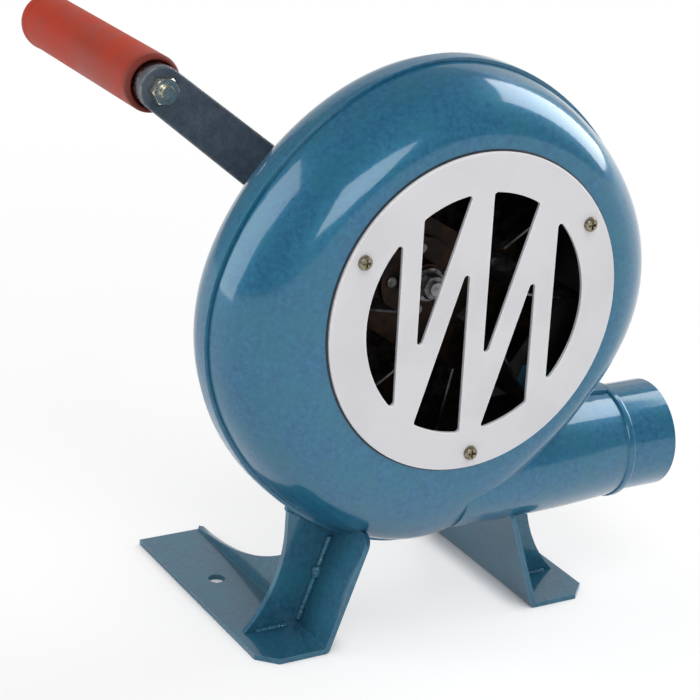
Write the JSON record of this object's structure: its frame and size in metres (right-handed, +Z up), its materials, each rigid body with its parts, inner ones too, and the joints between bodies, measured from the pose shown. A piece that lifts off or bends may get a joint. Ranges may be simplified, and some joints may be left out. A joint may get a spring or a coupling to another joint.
{
  "type": "hand crank forge blower",
  "caption": "Hand-cranked centrifugal blower: pressed scroll casing with a round side outlet, guarded intake, gear drum, crank arm with a turning grip, and two sheet feet.",
  "frame": {"origin": "on the bench plane, midway between the centres of the two foot bolt holes", "axes": "+X towards the outlet mouth, +Y back towards the crank and along the fan shaft, +Z up; the intake faces -Y"},
  "size_m": [0.2355, 0.2466, 0.2556],
  "materials": {
    "blue_paint": "glossy metallic blue enamel over pressed steel",
    "plate_paint": "pale grey satin paint",
    "yellow_zinc": "yellow zinc plated screws",
    "zinc": "bright zinc plate",
    "bronze": "sintered bronze, oiled",
    "ground_steel": "ground steel",
    "gear_steel": "cut steel with a film of grease",
    "arm_paint": "dark slate paint, semi-gloss",
    "grip_plastic": "moulded red plastic, semi-gloss",
    "fan_sheet": "dull dark sheet steel"
  },
  "bodies": {
    "housing": {"front_shell": "blue_paint", "rear_shell": "blue_paint", "intake_plate": "plate_paint", "plate_screws": "yellow_zinc", "left_foot": "blue_paint", "right_foot": "blue_paint", "left_gusset": "blue_paint", "right_gusset": "blue_paint", "gear_housing": "blue_paint", "gear_cover": "blue_paint", "cover_screws": "zinc", "case_screws": "zinc", "case_nuts": "zinc", "fan_bush": "bronze", "crank_bush": "bronze", "lay_pin": "ground_steel", "lay_washers": "ground_steel"},
    "crank": {"crank_shaft": "ground_steel", "crank_gear": "gear_steel", "gear_pin": "ground_steel", "crank_arm": "arm_paint", "arm_washer": "zinc", "arm_nut": "zinc", "handle_bolt": "zinc", "handle_nut": "zinc", "handle_collar": "zinc", "handle_washer": "zinc"},
    "grip": {"handle_grip": "grip_plastic"},
    "layshaft": {"lay_gear": "gear_steel", "lay_pinion": "gear_steel"},
    "fan": {"fan_shaft": "ground_steel", "fan_pinion": "gear_steel", "fan_hub": "fan_sheet", "fan_disc": "fan_sheet", "fan_blade_1": "fan_sheet", "fan_blade_2": "fan_sheet", "fan_blade_3": "fan_sheet", "fan_blade_4": "fan_sheet", "fan_blade_5": "fan_sheet", "fan_blade_6": "fan_sheet", "fan_blade_7": "fan_sheet", "fan_blade_8": "fan_sheet", "fan_rivets": "zinc", "fan_thrust_washer": "ground_steel", "fan_washer": "zinc", "fan_nut": "zinc"}
  },
  "joints": [
    {"name": "crank_spin", "type": "hinge", "parent": "housing", "child": "crank", "pos_m": [0, 0, 0.154], "axis": [0, 1, 0], "continuous": true},
    {"name": "grip_spin", "type": "hinge", "parent": "crank", "child": "grip", "pos_m": [-0.09456, 0, 0.22788], "axis": [0, 1, 0], "continuous": true},
    {"name": "layshaft_spin", "type": "hinge", "parent": "housing", "child": "layshaft", "pos_m": [0, 0, 0.1315], "axis": [0, 1, 0], "continuous": true},
    {"name": "fan_spin", "type": "hinge", "parent": "housing", "child": "fan", "pos_m": [0, 0, 0.154], "axis": [0, 1, 0], "continuous": true}
  ],
  "couplings": [
    {"joint": "layshaft_spin", "follows": "crank_spin", "ratio": -2.75},
    {"joint": "fan_spin", "follows": "crank_spin", "ratio": 7.5625}
  ]
}
